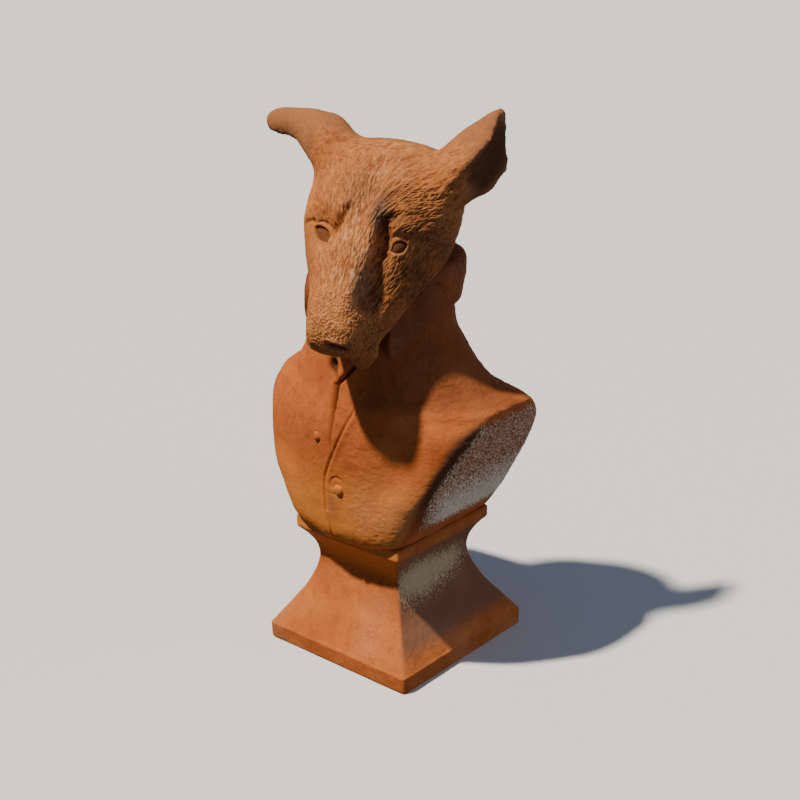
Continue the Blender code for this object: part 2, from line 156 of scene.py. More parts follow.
def rusted_iron(name, tones, bare="#a39482", strokes=0.0):
    """Grey iron that stood outdoors: a matt, sandy skin of orange-brown rust. The eye sees slow
    clouds of three rust tones, bright orange where light is painted on, greyer brown where it is
    worn and where painted shade colours a shaded side, dark brown in painted shade and in dark
    rust, pale and chalky on the bare patches, pale flecks which on the head are painted
    highlights, and fine dark specks all over."""
    iron = bpy.data.materials.new(name)
    iron.use_nodes = True
    tree = iron.node_tree
    shader = tree.nodes["Principled BSDF"]
    shader.inputs["Metallic"].default_value = 0.0
    shader.inputs["IOR"].default_value = 1.5
    shader.inputs["Specular IOR Level"].default_value = 0.1
    place = add_node(tree, "ShaderNodeTexCoord").outputs["Object"]

    def noise(millimetres, detail=2.0, roughness=0.55):
        settings = {"Scale": 1000.0 / millimetres, "Detail": detail, "Roughness": roughness}
        return add_node(tree, "ShaderNodeTexNoise", settings, Vector=place).outputs["Fac"]

    def field(called):
        settings = {"attribute_name": called}
        return add_node(tree, "ShaderNodeAttribute", settings).outputs["Fac"]

    def spread(value, low, high):
        settings = {"From Min": low, "From Max": high}
        return add_node(tree, "ShaderNodeMapRange", settings, Value=value).outputs["Result"]

    def sums(how, first, second):
        settings = {"operation": how, "use_clamp": True}
        if isinstance(second, float):
            settings[1] = second
            return add_node(tree, "ShaderNodeMath", settings, _0=first).outputs[0]
        return add_node(tree, "ShaderNodeMath", settings, _0=first, _1=second).outputs[0]

    def lay(over, colour, share):
        settings = {"data_type": "RGBA", 7: linear(colour)}
        return add_node(tree, "ShaderNodeMix", settings, _0=share, _6=over).outputs[2]

    clouds = spread(noise(34.0, 3.0), 0.36, 0.64)
    base = add_node(tree, "ShaderNodeMix", {"data_type": "RGBA", 6: linear(tones[0]), 7: linear(tones[1])},
                    _0=clouds).outputs[2]
    base = lay(base, tones[2], sums("MULTIPLY", spread(noise(9.0, 3.0), 0.5, 0.72), 0.6))
    # Painted light: a brighter orange wherever a piece's field asks for it.
    base = lay(base, "#e98a3c", field("painted_light"))
    # Greyer brown: real wear, and on some pieces painted shade.
    base = lay(base, "#7b5843", field("wear_and_painted_shade"))
    specks = spread(noise(1.5, 1.0), 0.56, 0.7)
    base = lay(base, "#5a2c17", sums("MULTIPLY", specks, 0.25))
    # Pale flecks: real ones on most pieces, and on the head painted highlights on the strokes' tops.
    pale = spread(noise(1.1, 2.0), 0.5, 0.66)
    flecks_and_highlight_share = sums("MULTIPLY", sums("ADD", sums("MULTIPLY", pale, 0.75), 0.25), field("pale_flecks_and_highlight"))
    base = lay(base, "#d9b08c", sums("MULTIPLY", flecks_and_highlight_share, 0.7))
    # Dark brown: painted shade in hollows, creases and shadowed places, and some dark rust.
    base = lay(base, "#3b2418", sums("MULTIPLY", field("painted_shade_and_dark_rust"), 0.85))
    crust = add_node(tree, "ShaderNodeMath", {"operation": "MULTIPLY_ADD", 1: 2.2, 2: -1.1},
                     _0=field("bare")).outputs[0]
    chalk = add_node(tree, "ShaderNodeMath", {"operation": "ADD", "use_clamp": True}, _0=crust,
                     _1=spread(noise(1.7, 3.0, 0.7), 0.42, 0.6)).outputs[0]
    present = spread(field("bare"), 0.02, 0.2)
    base = lay(base, bare, sums("MULTIPLY", sums("MULTIPLY", chalk, present), 0.94))
    tree.links.new(base, shader.inputs["Base Color"])
    dull = add_node(tree, "ShaderNodeMapRange", {"To Min": 0.72, "To Max": 0.92}, Value=noise(4.0))
    tree.links.new(dull.outputs["Result"], shader.inputs["Roughness"])
    fine = add_node(tree, "ShaderNodeBump", {"Strength": 0.5, "Distance": 0.00035}, Height=noise(1.3, 2.0))
    normal = fine.outputs["Normal"]
    if strokes:
        combed = add_node(tree, "ShaderNodeAttribute", {"attribute_name": "strokes"}).outputs["Fac"]
        chisel = add_node(tree, "ShaderNodeBump", {"Strength": strokes, "Distance": 0.0005},
                          Height=combed, Normal=normal)
        normal = chisel.outputs["Normal"]
    tree.links.new(normal, shader.inputs["Normal"])
    return iron


def socle_side(share):
    """Half width and height of the socle's side, by the share of the way up: straight up the
    plate, straight in along the batter, then a quadratic curve to the waist and another out
    to the cornice. Each corner is eased over 1.5 mm by averaging along the way."""
    s = np.linspace(0, 1, 41)[:, None]
    plate = np.array([(PLATE_HALF - 0.0006, 0.0), (PLATE_HALF, 0.0008), (PLATE_HALF, PLATE_TOP - 0.0006),
                      (PLATE_HALF - 0.0010, PLATE_TOP + 0.0001)])
    turn = np.array([WAIST[0] + 0.0002, 0.0600])
    waist = (1 - s) ** 2 * np.array(BATTER_TOP) + 2 * s * (1 - s) * turn + s ** 2 * np.array(WAIST)
    bend = np.array([WAIST[0], 0.0835])
    cove = (1 - s) ** 2 * np.array(WAIST) + 2 * s * (1 - s) * bend + s ** 2 * np.array(COVE_TOP)
    cornice = np.array([(CORNICE_HALF, COVE_TOP[1] + 0.0010), (CORNICE_HALF, SOCLE_TOP - 0.0012),
                        (CORNICE_HALF - 0.0012, SOCLE_TOP), (CORNICE_HALF - 0.010, SOCLE_TOP)])
    path = np.concatenate([plate, waist, cove[1:], cornice])
    walked = np.concatenate([[0], np.cumsum(np.linalg.norm(np.diff(path, axis=0), axis=1))])
    at = np.asarray(share) * walked[-1]
    eased = [np.mean([np.interp(np.clip(at + shift, 0, walked[-1]), walked, path[:, k])
                      for shift in (-0.0008, -0.0004, 0, 0.0004, 0.0008)], axis=0) for k in (0, 1)]
    return np.stack(eased, -1)


def socle_grid(rows, columns):
    """The socle's side carried round a square whose corners are a power curve: the point in
    each direction lies where |x|^p + |y|^p reaches the half width, p high enough for 3 mm.
    Within each side, the columns are spaced by the sine of the share of the way to the corner,
    which sets them closer there."""
    side = socle_side(np.linspace(0, 1, rows))
    turn = (np.arange(columns) + 0.5) / columns * 2 * np.pi
    quarter = np.floor((turn + np.pi / 4) / (np.pi / 2))
    from_middle = (turn + np.pi / 4) % (np.pi / 2) - np.pi / 4
    to_corner = np.tan(np.abs(from_middle))
    turn = quarter * np.pi / 2 + np.sign(from_middle) * np.arctan(np.sin(to_corner * np.pi / 2) ** 0.9)
    total = np.abs(np.cos(turn)) ** CORNER_POWER + np.abs(np.sin(turn)) ** CORNER_POWER
    reach = total ** (-1 / CORNER_POWER)
    flat = np.stack([reach * np.cos(turn), reach * np.sin(turn)], -1)
    grid = np.empty((rows, columns, 3))
    grid[..., :2] = side[:, None, :1] * flat
    grid[..., 2] = side[:, 1:]
    return grid


socle_points = socle_grid(230, 400)
push = grain(socle_points) + 0.0004 * rough(socle_points, 0.045, 7)
push *= ramp(socle_points[..., 2], 0.0, 0.002)
socle_points = socle_points + grid_normals(socle_points) * push[..., None]
socle = tube_mesh("socle", socle_points)
flat_points = np.concatenate([socle_points.reshape(-1, 3), np.zeros((2, 3))])
x, y, z = flat_points.T
right_side = ramp(x - np.abs(y), -0.004, 0.004) * ramp(z, 0.016, 0.03) * (1 - ramp(z, 0.092, 0.096))
limed = right_side * bell(y + 0.020, 0.040) * bell(z - 0.066, 0.020)
limed += 0.6 * right_side * bell(y - 0.02, 0.024) * bell(z - 0.068, 0.014)
keep_field(socle, "bare", 0.9 * np.clip(limed, 0, 1))
# The right side is greyer: partly its own grey patina, partly painted shade colour for that shaded side.
keep_field(socle, "wear_and_painted_shade", 0.8 * right_side)
# Painted light on the left face from the waist up, lightening the cornice's shadow band on the cove, a
# little less at the cornice's lower edge.
left_side = ramp(np.abs(y) - x, -0.004, 0.004) * (y < 0)
keep_field(socle, "painted_light", left_side * ramp(z, 0.068, 0.078) * (1 - 0.4 * bell(z - 0.094, 0.004)))
# Painted shade along the socle's top edge, under the coat's hem.
keep_field(socle, "painted_shade_and_dark_rust", 0.5 * bell(z - SOCLE_TOP, 0.0025))
keep_field(socle, "pale_flecks_and_highlight", 0.35 * ramp(rough(flat_points, 0.03, 5), 0.1, 0.8))
socle.data.materials.append(rusted_iron("rusted iron, smooth casting", ("#b9622e", "#cb733a", "#a8552b"),
                                        bare="#d2b485"))
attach(socle, "root")
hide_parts("dog_bust")

# Coat
# The body is cut off below the chest, and its arms are cut off by flat, slanted planes whose
# edges are rounded. One panel of the coat laps over the other down to the hem, two buttons
# close it, and above them a deep opening narrows downward along the straight edge.

FIGURE_SHARE = 0.001
COAT_ROWS = (
    (0.0, -0.8, 49.0, -49.0, 50.0, -54.5, 53.0, 10.0),
    (0.5, 0.4, 51.6, -51.0, 52.2, -57.5, 56.0, 10.0),
    (1.0, 3.0, 55.5, -53.5, 54.5, -60.5, 58.5, 10.0),
    (2.0, 12.0, 61.0, -55.0, 59.0, -64.0, 63.0, 10.0),
    (4.0, 35.5, 73.0, -53.5, 64.5, -65.5, 69.0, 12.0),
    (6.0, 60.5, 85.0, -44.5, 67.0, -66.0, 72.0, 14.0),
    (7.5, 78.0, 93.5, -35.0, 64.0, -65.5, 69.0, 14.0),
    (8.7, 92.0, 100.0, -25.0, 57.0, -64.0, 65.0, 11.0),
    (9.5, 101.0, 101.5, -16.0, 49.0, -62.0, 62.0, 7.5),
    (10.3, 106.5, 97.0, -15.0, 39.0, -60.5, 60.0, 4.8),
    (11.0, 112.0, 88.5, -17.0, 34.0, -59.0, 57.0, 3.6),
    (12.0, 123.5, 77.0, -25.0, 34.0, -56.5, 54.0, 2.8),
    (13.0, 138.0, 66.0, -34.0, 37.0, -53.5, 51.0, 2.4),
    (14.5, 155.0, 55.5, -39.0, 42.0, -50.0, 49.0, 2.0),
    (16.0, 178.0, 52.0, -41.0, 45.0, -47.0, 48.0, 2.0),
)
LAP_EDGE = ((-12.0, -3.0), (10.0, -4.0), (22.0, -6.5), (36.0, -6.5), (48.0, -5.0), (60.0, -0.5),
            (74.0, 6.5), (86.0, 12.5), (105.0, 22.0), (118.0, 31.0), (140.0, 38.0))
OPENING_EDGE = 3.0
BUTTONS = ((-11.5, 78.5, 3.6, 1.9), (8.0, 41.0, 4.3, 2.1))
NOTCH = ((27.0, 117.0), (34.0, 114.5), (41.0, 113.0))


def smooth_curve(knots, values, at):
    """Monotone cubic curve through a few knots: each piece is a Hermite cubic whose slopes are
    weighted harmonic means of the straight slopes beside them, so it never overshoots."""
    x = np.asarray(knots, float)
    y = np.asarray(values, float)
    at = np.asarray(at, float)
    step = np.diff(x)
    slope = np.diff(y) / step
    before = 2 * step[1:] + step[:-1]
    after = step[1:] + 2 * step[:-1]
    same = slope[:-1] * slope[1:] > 0
    mean = np.where(same, before / np.where(same, slope[:-1], 1) + after / np.where(same, slope[1:], 1), 1)
    tangent = np.concatenate([slope[:1], np.where(same, (before + after) / mean, 0), slope[-1:]])
    k = np.clip(np.searchsorted(x, at) - 1, 0, len(x) - 2)
    s = np.clip((at - x[k]) / step[k], 0, 1)
    rise = 3 * s ** 2 - 2 * s ** 3
    lead = (s ** 3 - 2 * s ** 2 + s) * step[k] * tangent[k]
    trail = (s ** 3 - s ** 2) * step[k] * tangent[k + 1]
    return y[k] * (1 - rise) + y[k + 1] * rise + lead + trail


def rows_at(rows, at):
    """Every column of a table of rows, read at the given values of its first column."""
    table = np.asarray(rows, float)
    return [smooth_curve(table[:, 0], column, at) for column in table[:, 1:].T]


def coat_grid(rows, columns):
    """Level sections of the body in millimetres over the socle: a power curve, boxy at the hem
    and round at the neck, whose front and back bow out by a parabola across, with shallow
    hollows between chest and arms. The columns are spaced by distance, closer at the front."""
    places = np.concatenate([np.linspace(0, 1, rows // 9), np.linspace(1, 16, rows)[1:]])
    turn = np.linspace(0, 2 * np.pi, 1441) - np.pi / 2
    z, half, front, back, chest, spine, power = [c[:, None] for c in rows_at(COAT_ROWS, places)]
    reach = (np.abs(np.cos(turn)) ** power + np.abs(np.sin(turn)) ** power) ** (-1 / power)
    across = reach * np.cos(turn)
    along = reach * np.sin(turn)
    bow = 1 - across ** 2
    hollow = 2.6 * bell(np.abs(across) - 0.62, 0.2) * ramp(z, 20, 60) * (1 - ramp(z, 106, 120))
    level = (front + back) / 2 + (back - front) / 2 * along
    y = level + np.clip(-along, 0, 1) * (bow * (chest - front) + hollow)
    y = y + np.clip(along, 0, 1) * bow * (spine - back)
    sag = 5.0 * bow * (y < 0) * np.clip(1 - z / 40, 0, 1)
    wave = 1.3 * rough(np.stack([half * across / 13, y / 13, 0 * y], -1), 1.0, 12)
    wave = wave * np.clip(1 - z / 12, 0, 1)
    ring = np.stack([half * across, y, z - sag + wave], -1)
    step = np.linalg.norm(np.diff(ring, axis=1), axis=-1)
    weight = step * np.where(ring[:, 1:, 1] < 10, np.where(np.abs(ring[:, 1:, 0]) < 32, 1.7, 1.0), 0.6)
    walked = np.concatenate([np.zeros((len(places), 1)), np.cumsum(weight, 1)], 1)
    walked /= walked[:, -1:]
    at = np.arange(columns) / columns
    return np.stack([np.stack([np.interp(at, w, r[:, k]) for k in range(3)], -1)
                     for w, r in zip(walked, ring)])


def line_distance(points, line):
    """Distance of each point to a line of straight steps, and the share of the way along it."""
    line = np.asarray(line, float)
    lengths = np.linalg.norm(np.diff(line, axis=0), axis=1)
    starts = np.concatenate([[0], np.cumsum(lengths)[:-1]])
    near = np.full(points.shape[:-1], 1e9)
    share = np.zeros(points.shape[:-1])
    for start, end, length, walked in zip(line[:-1], line[1:], lengths, starts):
        way = (end - start) / length
        along = np.clip((points - start) @ way, 0, length)
        distance = np.linalg.norm(points - start - along[..., None] * way, axis=-1)
        closer = distance < near
        near = np.where(closer, distance, near)
        share = np.where(closer, (walked + along) / lengths.sum(), share)
    return near, share


def coat_front(x, z):
    """Push of the coat's front in millimetres, by place across and height: the lapped panel's
    edge is a fine groove with a raised lip, the opening is sunk deep along its straight edge
    and runs out at the lapel, and each button is a low dome in a faint ring."""
    edge = smooth_curve(*zip(*LAP_EDGE), z)
    from_edge = x - edge
    low = 1 - ramp(z, 96, 112)
    push = -1.5 * bell(from_edge, 1.1) * low + 0.5 * bell(from_edge - 3.0, 3.0) * low
    side = OPENING_EDGE + 2.8 * ramp(z, 62, 119) + 0.87 * np.clip(z - 119, 0, 30)
    dip = ramp(x - side, -1.5 - 5.5 * ramp(z, 62, 116), -0.6) * (1 - ramp(x - side, -0.4, 0.5))
    push = push - (0.6 + 3.4 * ramp(z, 66, 116)) * dip * ramp(z, 60, 68) * (1 - ramp(z, 136, 144))
    pleat = bell(x - 5.0 + 0.5 * (z - 119), 1.9) * ramp(z, 118, 122) * (1 - ramp(z, 130, 136))
    push = push - 2.2 * pleat
    for across, height, radius, proud in BUTTONS:
        away = np.hypot(x - across, z - height)
        dome = proud * np.sqrt(np.clip(1 - (away / radius) ** 2, 0, 1))
        push = push + dome - 0.5 * bell(away - radius, 0.8)
    ring = np.hypot(x - 6.8, z - 44.5)
    push = push - 0.7 * bell(ring - 6.2, 0.9) * ramp(z - 0.4 * x, 38, 43)
    seam = -0.35 * bell(z - 36.5, 0.7) * bell(x - 5, 16)
    notch, _ = line_distance(np.stack([x, z], -1), NOTCH)
    push = push + seam - 0.7 * bell(notch, 1.1) + 0.5 * bell(notch - 2.0, 1.2)
    push = push + 0.8 * bell(np.hypot(x + 5, z - 20), 1.6)
    return push


coat_points = coat_grid(280, 310)
x, y, z = np.moveaxis(coat_points, -1, 0)
aside = np.abs(grid_normals(coat_points)[..., 0])
front = ramp(-grid_normals(coat_points)[..., 1], 0.35, 0.75)
relief = coat_front(x, z) * front * (np.abs(x) < 60)
lower_front = front * (1 - ramp(z, 25, 60)) * (1 - ramp(np.abs(x - 8), 20, 40))
relief += 0.08 * rough(np.stack([x / 2.2, y / 6, z / 22], -1), 1.0, 11) * lower_front
placed = coat_points * FIGURE_SHARE + np.array([0, 0, SOCLE_TOP])
armcut = ramp(aside, 0.74, 0.88) * ramp(z, 6, 20) * (1 - ramp(z, 92, 103))
lumps = rough(placed, 0.0032, 21) * rough(placed, 0.0055, 22)
relief += armcut * (0.5 * lumps + 0.55 * rough(placed, 0.0017, 23))
shoulder = ramp(z, 70, 110) * (1 - armcut) * ramp(np.abs(x), 30, 60)
relief += 0.40 * np.maximum(shoulder, 0.45 * front * ramp(x, 8, 30)) * rough(placed, 0.0016, 24)
from_pit = np.hypot(x + 2, (z - 133) / 1.2)
relief -= 4.0 * bell(from_pit, 4.0) * front
push = grain(placed) + relief * 0.001
placed = placed + grid_normals(placed) * push[..., None]
coat = tube_mesh("coat", placed)


def to_points(values):
    """A value for each point of a grid and the two points that close its ends."""
    return np.append(values, [0.0, 0.0])


band = y - smooth_curve([row[1] for row in COAT_ROWS], [row[3] for row in COAT_ROWS], z)
band = band * (0.5 + 0.5 * ramp(z, 20, 60))
plaster = 0.38 + 0.42 * (1 - ramp(z, 14, 62)) * ramp(band, 8, 22)
keep_field(coat, "bare", to_points(armcut * plaster * (0.85 + 0.15 * ramp(x, 40, 60)) * ramp(band, 4, 9)))
# Painted light brightens the lower front of the coat.
keep_field(coat, "painted_light", to_points(0.8 * front * (1 - ramp(z, 20, 78))))
# Painted shade darkens a band along the rounded edge where the chest turns to the arm cuts; the patch low
# on the front is real wear.
arris = ramp(aside, 0.55, 0.8) * (1 - ramp(z, 92, 103)) * (1 - ramp(band, 6, 13)) * ramp(z, 15, 55)
patch = 0.5 * bell(np.hypot(x - 1, (z - 26) / 1.6), 6.5) * front
keep_field(coat, "wear_and_painted_shade", to_points(np.clip(0.5 * arris + patch, 0, 1)))
# Painted shade darkens the coat's deep grooves, the pit under the muzzle, the upper left side by the neck
# where the head's shadow falls, and the band along the arm cuts' edge; the arm cuts get dark rust under
# their chalk.
coat_shade_and_rust = np.clip(-relief - 0.9, 0, 2.2) / 2.2 * front + 1.3 * bell(from_pit, 5.0) * front
coat_shade_and_rust += 0.6 * ramp(z, 98, 112) * ramp(x, 14, 34) + 0.75 * arris + 0.45 * armcut
keep_field(coat, "painted_shade_and_dark_rust", to_points(np.clip(coat_shade_and_rust, 0, 1)))
flecked = 0.5 * front * bell(z - 28, 24) * ramp(x, 8, 30) + 0.12 * shoulder * (x > 0)
keep_field(coat, "pale_flecks_and_highlight", to_points(np.clip(flecked, 0, 1)))
coat.data.materials.append(rusted_iron("rusted iron, chalky where the arms are cut off",
                                       ("#b75e2c", "#c96e36", "#a45028"), bare="#ffe6c2"))
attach(coat, "root")
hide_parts("dog_bust")

# Collar
# The coat's collar is turned down and stands off the neck. Its lower edge is a rounded ridge
# that rises from the lapels to the nape, and it stays open at the throat.

COLLAR_ROWS = ((-0.06, 42.0), (-0.04, 52.0), (0.02, 55.5), (0.30, 57.5), (0.60, 59.5), (0.82, 59.5),
               (0.95, 56.5), (1.00, 50.0))
COLLAR_EDGES = ((0.0, 104.0, 168.0), (38.0, 108.0, 172.0), (42.0, 124.0, 175.0), (44.0, 133.0, 177.0),
                (48.0, 143.0, 180.0), (56.0, 150.0, 185.0), (64.0, 154.0, 191.0), (75.0, 163.0, 198.0),
                (95.0, 170.0, 204.0), (180.0, 171.0, 206.0))
THROAT_RADIUS = 43.0


def collar_grid(rows, columns):
    """Rings of a leaf round the neck: its radius by the share of the way up, and its lower and
    upper edges by the angle from the front. At the throat it sinks into the neck."""
    shares, radii = np.array(COLLAR_ROWS).T
    knots = np.arange(len(shares))
    at = np.linspace(0, len(shares) - 1, rows)
    share = smooth_curve(knots, shares, at)[:, None]
    radius = smooth_curve(knots, radii, at)[:, None]
    turn = np.arange(columns) / columns * 360.0 - 180.0
    low, high = rows_at(COLLAR_EDGES, np.abs(turn))
    opened = 1 - ramp(np.abs(turn), 32, 45)
    radius = radius * (1 - opened) + np.minimum(radius, THROAT_RADIUS) * opened
    flat = 1 - 0.04 * np.cos(np.radians(turn)) ** 2
    x = radius * np.sin(np.radians(turn))
    y = 1.0 - radius * np.cos(np.radians(turn)) * flat
    return np.stack([x, y, low + (high - low) * share], -1) * FIGURE_SHARE + np.array([0, 0, SOCLE_TOP])


collar_points = collar_grid(120, 420)
pits = -0.0006 * np.clip(rough(collar_points, 0.007, 31) * rough(collar_points, 0.004, 32) * 3 - 0.6, 0, 1)
push = 1.4 * grain(collar_points) + pits
collar_points = collar_points + grid_normals(collar_points) * push[..., None]
collar = tube_mesh("collar", collar_points)
keep_field(collar, "bare", to_points(0 * push))
keep_field(collar, "wear_and_painted_shade", to_points(0.25 * ramp(rough(collar_points, 0.02, 33), -0.2, 0.6)))
keep_field(collar, "painted_shade_and_dark_rust", to_points(np.clip(-pits / 0.0006, 0, 1)))
keep_field(collar, "pale_flecks_and_highlight", to_points(0.3 * ramp(rough(collar_points, 0.014, 34), 0, 0.8)))
# The collar's rust tones are darker as painted shade, since it lies in the head's shadow.
collar.data.materials.append(rusted_iron("rusted iron, collar darkened with painted shade",
                                         ("#7f4324", "#98542c", "#66351e")))
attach(collar, "root")
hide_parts("dog_bust")

# Head
# A long wedge of a head with small, deep-set eyes under heavy brows and a down-turned muzzle.
# It turns to the figure's left and hangs forward. Its short coat is chiselled in rows of
# small strokes, which the ears and one cheek are almost free of.

HEAD_ROWS = (
    (0.0, 6.0, 1.0, -5.0, -2.0, 2.0),
    (1.5, 13.0, 6.0, -8.0, -3.0, 2.3),
    (5.0, 17.5, 11.0, -14.0, -6.0, 2.6),
    (12.0, 20.5, 16.0, -23.0, -10.0, 2.7),
    (28.0, 25.5, 20.5, -37.0, -13.0, 2.6),
    (50.0, 34.0, 23.0, -45.0, -14.0, 2.5),
    (72.0, 44.0, 26.0, -51.0, -12.0, 2.5),
    (95.0, 52.0, 28.5, -55.0, -8.0, 2.4),
    (118.0, 54.0, 30.5, -56.0, -5.0, 2.4),
    (140.0, 52.0, 28.5, -55.0, -5.0, 2.4),
    (155.0, 46.5, 21.0, -51.0, -8.0, 2.3),
    (164.0, 36.0, 10.0, -44.0, -12.0, 2.2),
    (169.0, 15.0, -6.0, -32.0, -18.0, 2.0),
)
NOSE_TIP = np.array([32.0, -94.0, 159.0])
LEFT_EYE = np.array([79.4, 29.6, 13.5])
RIGHT_EYE = np.array([77.8, -25.5, 18.0])
HEAD_YAW = math.radians(13.0)
HEAD_PITCH = math.radians(46.0)
HEAD_ROLL = math.radians(7.0)
LEFT_EAR_ROWS = (
    (-16.0, 2.0, 17.0, 12.0, -8.0, 0.0),
    (-4.0, 7.0, 23.0, 14.0, -2.0, 0.1),
    (10.0, 10.5, 29.0, 15.0, 1.0, 0.8),
    (32.0, 11.5, 25.5, 15.0, 2.0, 1.0),
    (47.0, 7.0, 15.0, 11.5, 3.0, 0.9),
    (57.0, 2.8, 9.0, 7.5, 3.0, 0.6),
    (64.0, 1.0, 3.6, 3.5, 3.0, 0.0),
)
LEFT_EAR_ROOT = (137.0, 46.0, 13.0)
LEFT_EAR_LEAN = 22.2
RIGHT_EAR_ROWS = (
    (-16.0, 0.0, 18.0, 12.0, -8.0, 0.0),
    (0.0, 2.0, 22.5, 13.0, -2.0, 0.0),
    (17.0, 6.5, 21.5, 12.0, 2.0, 0.5),
    (38.0, 8.5, 14.5, 10.0, 3.0, 0.8),
    (48.0, 4.5, 13.5, 9.5, 3.0, 0.7),
    (56.0, 2.0, 12.3, 9.0, 3.0, 0.4),
    (63.0, 0.5, 9.3, 7.0, 3.0, 0.0),
    (68.0, 0.0, 3.0, 3.0, 3.0, 0.0),
)
RIGHT_EAR_ROOT = (139.5, -38.3, 13.0)
RIGHT_EAR_LEAN = -68.2
FLEWS = (((17.0, 13.5, -27.0), (13.0, 9.5, 12.0)), ((20.0, -10.0, -25.0), (10.0, 7.0, 9.0)))


def head_axes():
    """Unit directions of the head: back from the nose, to its left, and up through the crown,
    from the turn, the nod and the tip to one side."""
    forward = np.array([math.sin(HEAD_YAW) * math.cos(HEAD_PITCH),
                        -math.cos(HEAD_YAW) * math.cos(HEAD_PITCH), -math.sin(HEAD_PITCH)])
    level = np.array([math.cos(HEAD_YAW), math.sin(HEAD_YAW), 0.0])
    rise = np.cross(forward, level)
    left = level * math.cos(HEAD_ROLL) - rise * math.sin(HEAD_ROLL)
    up = rise * math.cos(HEAD_ROLL) + level * math.sin(HEAD_ROLL)
    return np.stack([-forward, left, up])


def from_head(points):
    """Place back, left and up from the nose, in millimetres, to metres in the frame."""
    return (points @ head_axes() + NOSE_TIP) * FIGURE_SHARE + np.array([0, 0, SOCLE_TOP])


def to_head(points):
    """The way back: metres in the frame to place back, left and up from the nose."""
    return ((points - np.array([0, 0, SOCLE_TOP])) / FIGURE_SHARE - NOSE_TIP) @ head_axes().T


def head_grid(rows, columns):
    """Sections across the head's axis: a power curve with its own height over and under the
    widest line, spaced by angle."""
    length = HEAD_ROWS[-1][0]
    inner = length * (1 - np.cos(np.linspace(0.06, math.pi - 0.05, rows))) / 2
    places = np.concatenate([[0.0], inner, [length]])
    half, crest, keel, widest, power = [c[:, None] for c in rows_at(HEAD_ROWS, places)]
    turn = np.arange(columns) / columns * 2 * np.pi
    reach = (np.abs(np.cos(turn)) ** power + np.abs(np.sin(turn)) ** power) ** (-1 / power)
    rise = reach * np.sin(turn)
    up = widest + np.where(rise > 0, crest - widest, widest - keel) * rise
    left = half * reach * np.cos(turn)
    return np.stack([places[:, None] + 0 * left, left, up], -1)


def ear_grid(rows, root, lean, lips, along_rows, columns):
    """Sections along an ear that leans from the head's axis: an ellipse whose open side,
    between two lips at these angles, is sunk to leave a wall about 5 mm thick."""
    tip = rows[-1][0]
    along = np.concatenate([np.linspace(rows[0][0], tip - 6, along_rows),
                            tip - 6 * (1 - np.sin(np.linspace(0.1, math.pi / 2, 14)))])
    middle, half, depth, lift, hollow = [c[:, None] for c in rows_at(rows, along)]
    outer_count = columns * 2 // 3
    around = np.radians(np.linspace(lips[0], lips[1] - 360.0, outer_count))
    across = half * np.cos(around)
    over = depth * np.sin(around)
    way = np.linspace(0, 1, columns - outer_count + 2)[1:-1]
    chord_a = across[:, -1:] + (across[:, :1] - across[:, -1:]) * way
    chord_o = over[:, -1:] + (over[:, :1] - over[:, -1:]) * way
    facing = math.radians(sum(lips) / 2)
    sink = 0.8 * hollow * np.sin(np.pi * way) ** 0.5
    chord_a = chord_a + (-(half - 5.5) * 0.55 * math.cos(facing) - chord_a) * sink
    chord_o = chord_o + (-(depth - 5.5) * math.sin(facing) - chord_o) * sink
    across = np.concatenate([across, chord_a], 1) + middle
    over = np.concatenate([over, chord_o], 1)
    lean = math.radians(lean)
    place = root[0] + along[:, None] * math.cos(lean) - across * math.sin(lean)
    left = root[1] + along[:, None] * math.sin(lean) + across * math.cos(lean)
    return np.stack([place, left, root[2] + lift + over], -1)


def ear_inside(p, rows, root, lean):
    """How far each point lies in the hollow of an ear, from 0 to 1: by its distance from the
    ear's middle line as a share of the section's own half width and depth there."""
    lean = math.radians(lean)
    along = (p[:, 0] - root[0]) * math.cos(lean) + (p[:, 1] - root[1]) * math.sin(lean)
    across = (p[:, 1] - root[1]) * math.cos(lean) - (p[:, 0] - root[0]) * math.sin(lean)
    middle, half, depth, lift, _ = rows_at(rows, np.clip(along, rows[0][0], rows[-1][0]))
    share = np.hypot((across - middle) / half, (p[:, 2] - root[2] - lift) / depth)
    return (1 - ramp(share, 0.66, 0.92)) * ramp(along, 0, 12) * (1 - ramp(along, 50, 60))


def face_form(p):
    """Push of the head's broad forms in millimetres, by place back, left and up: hills and
    hollows for the eye sockets, the brows with the groove between, and the lips over the
    head's upper half, and a plane cut along the left cheek, by the angle round the axis."""
    place, left, up = np.moveaxis(p, -1, 0)
    side = np.abs(left)
    sockets = -6.5 * bell(place - 79, 12) * bell(side - 23, 12)
    brows = 3.0 * bell(place - 96, 10) * bell(side - 28, 16) - 1.5 * bell(place - 95, 14) * bell(side, 7)
    lips = -2.5 * bell(place - 55, 20) * bell(side - 25, 9)
    turn = np.degrees(np.arctan2(left, up + 10))
    cheek = np.sin(np.pi * np.clip((turn - 20) / 66, 0, 1))
    cheek = -8.0 * cheek * ramp(place, 14, 46) * (1 - ramp(place, 62, 92))
    return np.clip((up + 6) / 10, 0, 1) * (sockets + brows + lips) + cheek


def flew_grid(middle, radii):
    """The hanging side of the upper lip: an ellipsoid along the head's own directions."""
    lean, turn = np.meshgrid(np.linspace(-1.5, 1.5, 20), np.arange(40) / 40 * 2 * np.pi, indexing="ij")
    ball = np.stack([np.sin(lean), np.cos(lean) * np.cos(turn), np.cos(lean) * np.sin(turn)], -1)
    return ball * np.array(radii) + middle


